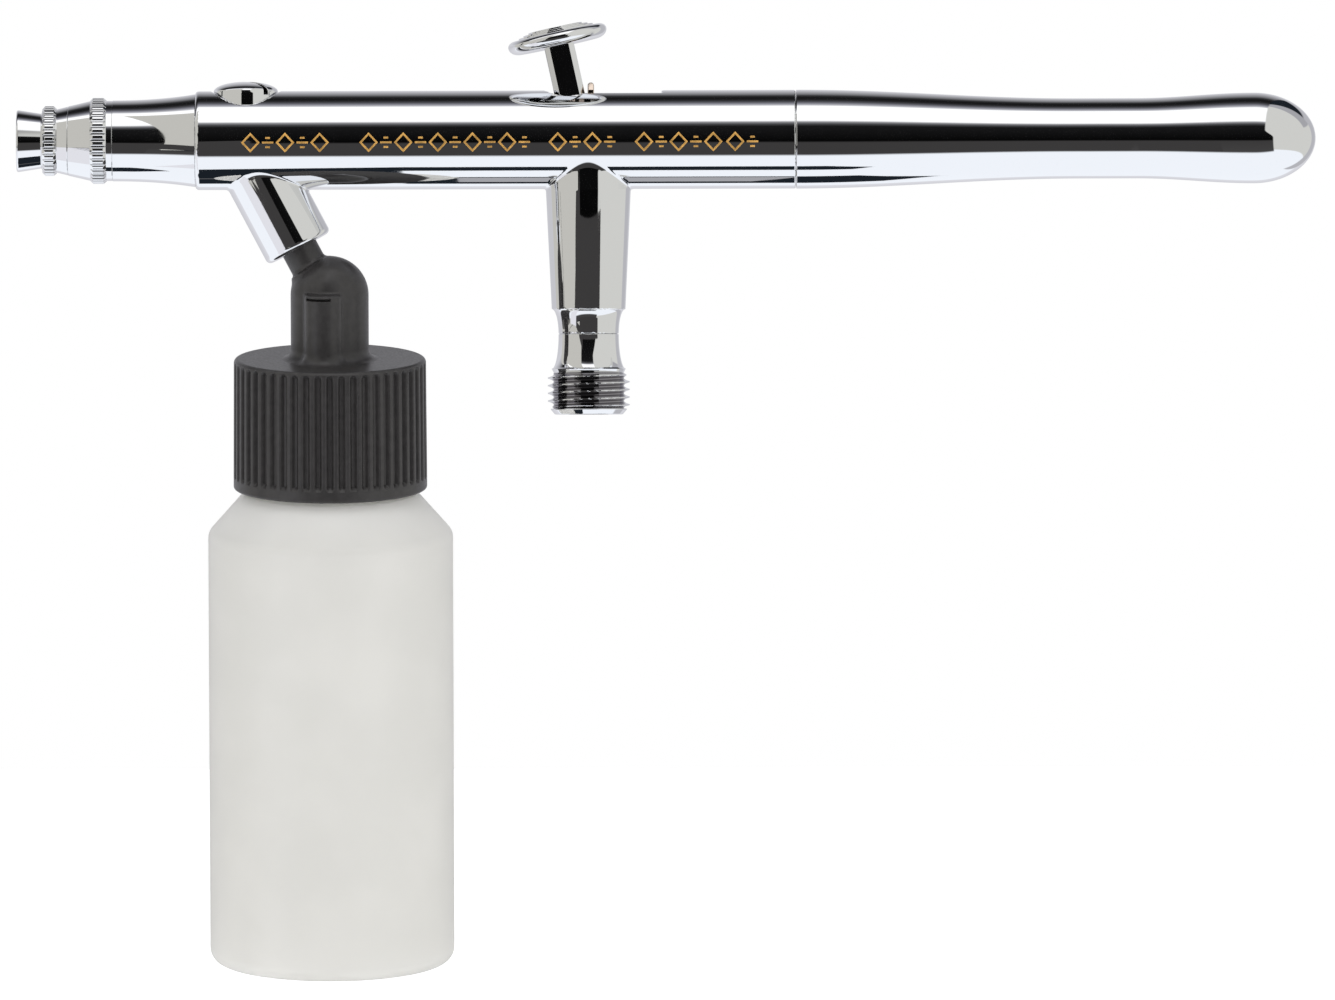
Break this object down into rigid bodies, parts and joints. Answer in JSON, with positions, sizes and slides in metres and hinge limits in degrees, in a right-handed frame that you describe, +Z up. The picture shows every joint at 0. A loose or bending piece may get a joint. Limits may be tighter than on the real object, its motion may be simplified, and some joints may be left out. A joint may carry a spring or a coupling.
{
  "type": "airbrush gun",
  "caption": "Double-action siphon-feed airbrush: chromed body with finger trigger, air valve with threaded inlet, tapered handle and a swivelling screw-on bottle.",
  "frame": {"origin": "centre of the air inlet's thread at its lower end, on the valve axis", "axes": "+X along the airbrush towards the handle, +Y to the airbrush's right-hand side away from the viewer, +Z up the air valve towards the trigger"},
  "size_m": [0.1541, 0.0371, 0.1139],
  "materials": {
    "chrome_plate": "polished chrome plate on brass",
    "stainless_steel": "ground stainless steel",
    "spring_steel": "drawn spring wire",
    "brass": "turned brass",
    "ptfe": "white PTFE",
    "nitrile_rubber": "black rubber",
    "cap_plastic": "moulded charcoal plastic",
    "bottle_plastic": "milky translucent polyethylene"
  },
  "bodies": {
    "airbrush_body": {"body": "chrome_plate", "head": "chrome_plate", "head_seal": "ptfe", "fluid_nozzle": "brass", "plug_screw": "chrome_plate", "plug_gasket": "nitrile_rubber", "needle_packing": "ptfe", "packing_screw": "brass", "spring_case": "stainless_steel", "needle_spring": "spring_steel", "valve_spring": "spring_steel", "valve_guide_screw": "brass", "air_valve_body": "chrome_plate"},
    "valve_plunger": {"valve_plunger": "brass", "plunger_o_ring": "nitrile_rubber", "valve_seal": "nitrile_rubber", "trigger_pin": "stainless_steel"},
    "trigger": {"trigger": "chrome_plate"},
    "auxiliary_lever": {"auxiliary_lever": "stainless_steel"},
    "needle_carrier": {"needle_tube": "stainless_steel", "needle": "stainless_steel"},
    "chuck_nut": {"chuck_nut": "chrome_plate"},
    "nozzle_cap": {"nozzle_cap": "chrome_plate"},
    "needle_cap": {"needle_cap": "chrome_plate"},
    "handle": {"handle": "chrome_plate"},
    "siphon": {"siphon_cap": "cap_plastic", "cap_liner": "ptfe", "dip_tube": "bottle_plastic"},
    "bottle": {"bottle": "bottle_plastic"}
  },
  "joints": [
    {"name": "trigger_press", "type": "slide", "parent": "airbrush_body", "child": "valve_plunger", "axis": [0, 0, -1], "range_m": [0, 0.0018], "stiffness_N_per_m": 600, "springref_m": -0.002, "deforming": ["valve_spring"]},
    {"name": "trigger_pull", "type": "hinge", "parent": "valve_plunger", "child": "trigger", "pos_m": [0, 0, 0.0273], "axis": [0, 1, 0], "range_deg": [0, 22], "stiffness_Nm_per_rad": 0.05, "springref_deg": -17.19},
    {"name": "lever_rock", "type": "hinge", "parent": "airbrush_body", "child": "auxiliary_lever", "pos_m": [0.0037, 0, 0.02925], "axis": [0, 1, 0], "range_deg": [0, 31]},
    {"name": "needle_slide", "type": "slide", "parent": "airbrush_body", "child": "needle_carrier", "axis": [1, 0, 0], "range_m": [0, 0.0023], "deforming": ["needle_spring"]},
    {"name": "chuck_nut_turn", "type": "hinge", "parent": "needle_carrier", "child": "chuck_nut", "pos_m": [0.036, 0, 0.0319], "axis": [1, 0, 0], "range_deg": [0, 360]},
    {"name": "nozzle_cap_turn", "type": "hinge", "parent": "airbrush_body", "child": "nozzle_cap", "pos_m": [-0.058, 0, 0.0319], "axis": [-1, 0, 0], "range_deg": [0, 360]},
    {"name": "needle_cap_turn", "type": "hinge", "parent": "nozzle_cap", "child": "needle_cap", "pos_m": [-0.063, 0, 0.0319], "axis": [-1, 0, 0], "range_deg": [0, 360]},
    {"name": "handle_turn", "type": "hinge", "parent": "airbrush_body", "child": "handle", "pos_m": [0.022, 0, 0.0319], "axis": [1, 0, 0], "range_deg": [0, 360]},
    {"name": "bottle_swivel", "type": "hinge", "parent": "airbrush_body", "child": "siphon", "pos_m": [-0.03547, 0, 0.02131], "axis": [0.4695, 0, -0.8829], "range_deg": [-64.6, 25.4]},
    {"name": "bottle_turn", "type": "hinge", "parent": "siphon", "child": "bottle", "pos_m": [-0.03074, 0.00248, -0.00241], "axis": [-0.001, 0.1652, -0.9863], "range_deg": [0, 360]}
  ],
  "couplings": [
    {"joint": "lever_rock", "follows": "trigger_pull", "ratio": 1.4},
    {"joint": "needle_slide", "follows": "trigger_pull", "m_per_rad": 0.00586}
  ]
}
